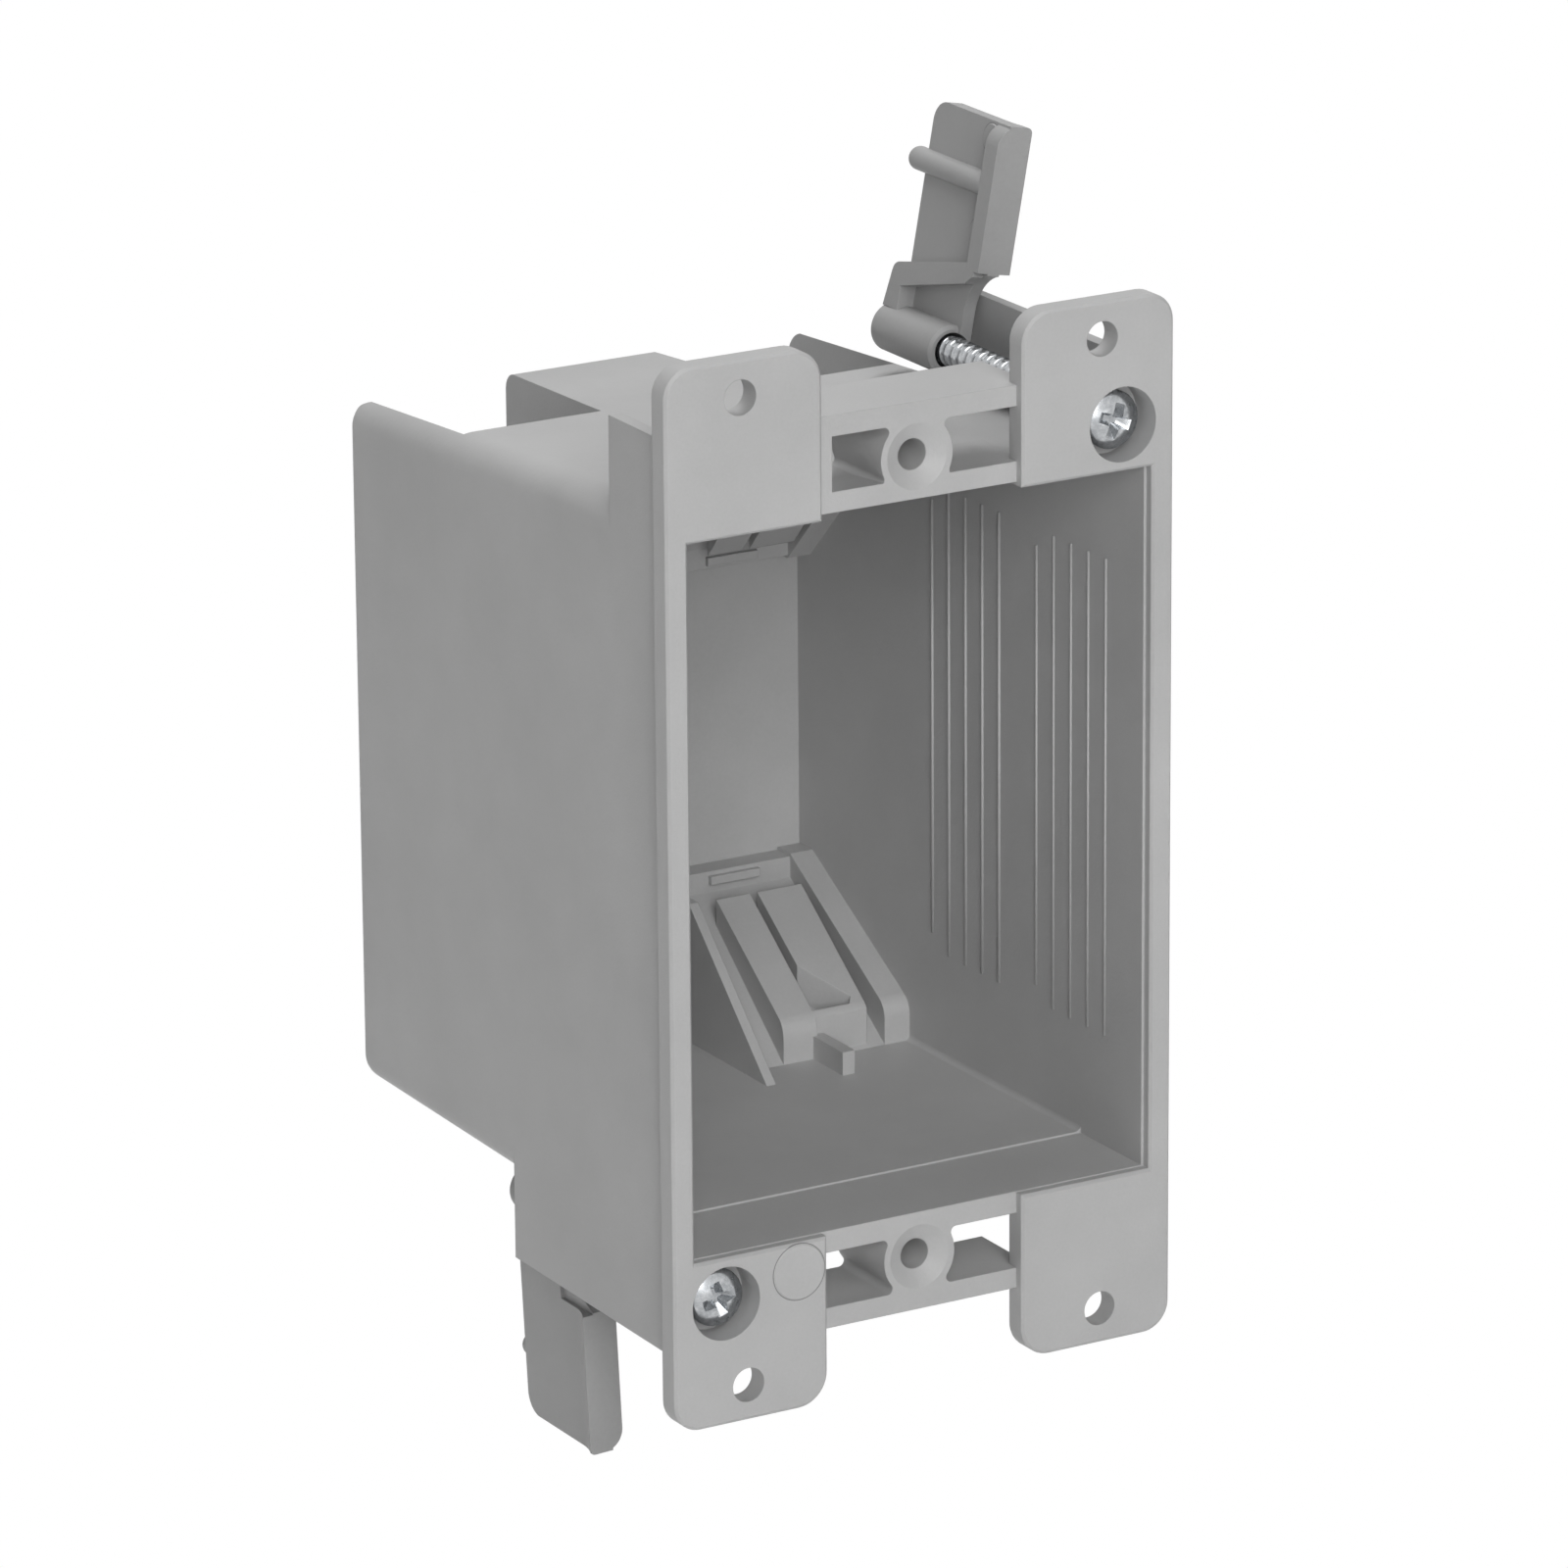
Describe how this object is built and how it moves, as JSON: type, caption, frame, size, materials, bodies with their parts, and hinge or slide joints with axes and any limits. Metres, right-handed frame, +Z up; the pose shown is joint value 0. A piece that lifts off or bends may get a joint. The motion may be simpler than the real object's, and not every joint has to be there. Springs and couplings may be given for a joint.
{
  "type": "drywall back box",
  "caption": "Single-gang moulded drywall back box with an eared flange, sprung cable-entry tabs and screw-driven swing clamps.",
  "frame": {"origin": "on the front plane of the flange, at the centre of the rectangle of ear holes, which is also midway between the two device screws", "axes": "+X to the right seen from the room, +Y into the wall towards the back of the box, +Z up, along the line of the device screws"},
  "size_m": [0.0594, 0.0696, 0.1312],
  "materials": {
    "box_plastic": "fine even matt grain",
    "clamp_plastic": "fine even matt grain",
    "screw_zinc": "bright zinc plate"
  },
  "bodies": {
    "box": {"box_body": "box_plastic"},
    "upper_screw": {"upper_clamp_screw": "screw_zinc"},
    "upper_arm": {"upper_clamp": "clamp_plastic"},
    "lower_screw": {"lower_clamp_screw": "screw_zinc"},
    "lower_arm": {"lower_clamp": "clamp_plastic"}
  },
  "joints": [
    {"name": "upper_clamp_swing", "type": "hinge", "parent": "box", "child": "upper_screw", "pos_m": [0.02305, 0, 0.0418], "axis": [0, 1, 0], "range_deg": [-100.5, 0]},
    {"name": "upper_clamp_draw", "type": "slide", "parent": "upper_screw", "child": "upper_arm", "axis": [0, -1, 0], "range_m": [0, 0.017]},
    {"name": "lower_clamp_swing", "type": "hinge", "parent": "box", "child": "lower_screw", "pos_m": [-0.02305, 0, -0.0418], "axis": [0, 1, 0], "range_deg": [-87.25, 13.25]},
    {"name": "lower_clamp_draw", "type": "slide", "parent": "lower_screw", "child": "lower_arm", "axis": [0, -1, 0], "range_m": [0, 0.0126]}
  ]
}
